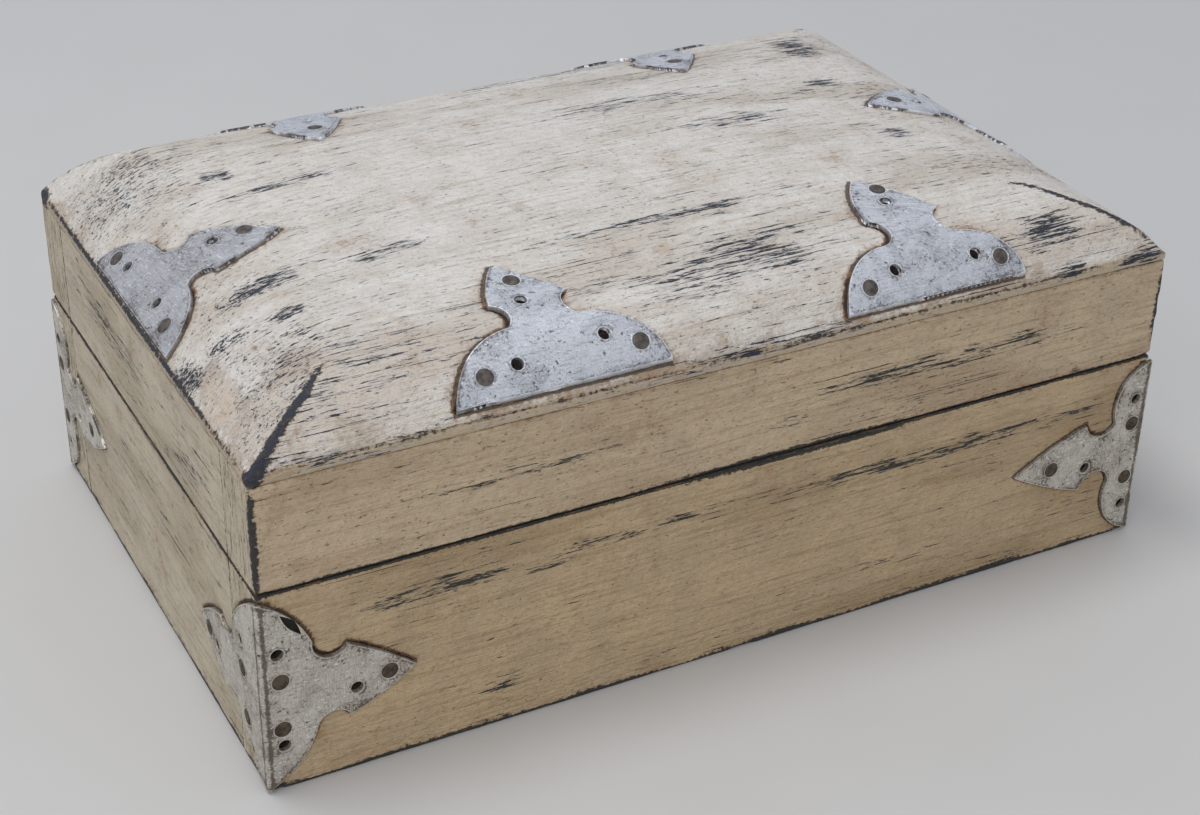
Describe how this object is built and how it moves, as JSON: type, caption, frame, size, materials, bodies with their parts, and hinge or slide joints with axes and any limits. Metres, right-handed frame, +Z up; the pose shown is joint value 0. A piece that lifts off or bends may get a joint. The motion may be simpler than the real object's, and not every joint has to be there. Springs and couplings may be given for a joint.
{
  "type": "wooden storage box",
  "caption": "Low wooden storage box with a back-hinged lid shaped to a hipped dome, metal corner brackets and spear-shaped lid plates let into the wood and nailed.",
  "frame": {"origin": "centre of the box's flat bottom face, on the surface it stands on", "axes": "+X to the viewer's right along the front, +Y to the hinged back, +Z up; the front faces -Y"},
  "size_m": [0.282, 0.1863, 0.1185],
  "materials": {
    "side_wood": "worn cream paint gone tan, dark streaks along the grain",
    "top_wood": "worn cream paint, blue-black streaks along the grain",
    "panel_wood": "bare aged wood",
    "mount_metal": "scratched dull sheet",
    "nail_steel": "darkened nail heads",
    "hinge_steel": "dull aged steel"
  },
  "bodies": {
    "base": {"base_front_board": "side_wood", "base_back_board": "side_wood", "base_left_board": "side_wood", "base_right_board": "side_wood", "base_bottom_panel": "panel_wood", "bottom_panel_pins": "hinge_steel", "corner_bracket_front_left": "mount_metal", "corner_bracket_front_right": "mount_metal", "corner_bracket_back_left": "mount_metal", "corner_bracket_back_right": "mount_metal", "bracket_nails": "nail_steel", "hinge_base_leaf_left": "hinge_steel", "hinge_base_leaf_right": "hinge_steel", "hinge_pin_left": "hinge_steel", "hinge_pin_right": "hinge_steel", "hinge_base_screws": "hinge_steel"},
    "lid": {"lid_top_board": "top_wood", "lid_front_rail": "side_wood", "lid_back_rail": "side_wood", "lid_left_rail": "side_wood", "lid_right_rail": "side_wood", "lid_plate_front_left": "mount_metal", "lid_plate_front_right": "mount_metal", "lid_plate_right": "mount_metal", "lid_plate_back_right": "mount_metal", "lid_plate_back_left": "mount_metal", "lid_plate_left": "mount_metal", "lid_plate_nails": "nail_steel", "hinge_lid_leaf_left": "hinge_steel", "hinge_lid_leaf_right": "hinge_steel", "hinge_lid_screws": "hinge_steel"}
  },
  "joints": [
    {"name": "lid_hinge", "type": "hinge", "parent": "base", "child": "lid", "pos_m": [0, 0.0928, 0.06175], "axis": [-1, 0, 0], "range_deg": [0, 105]}
  ]
}
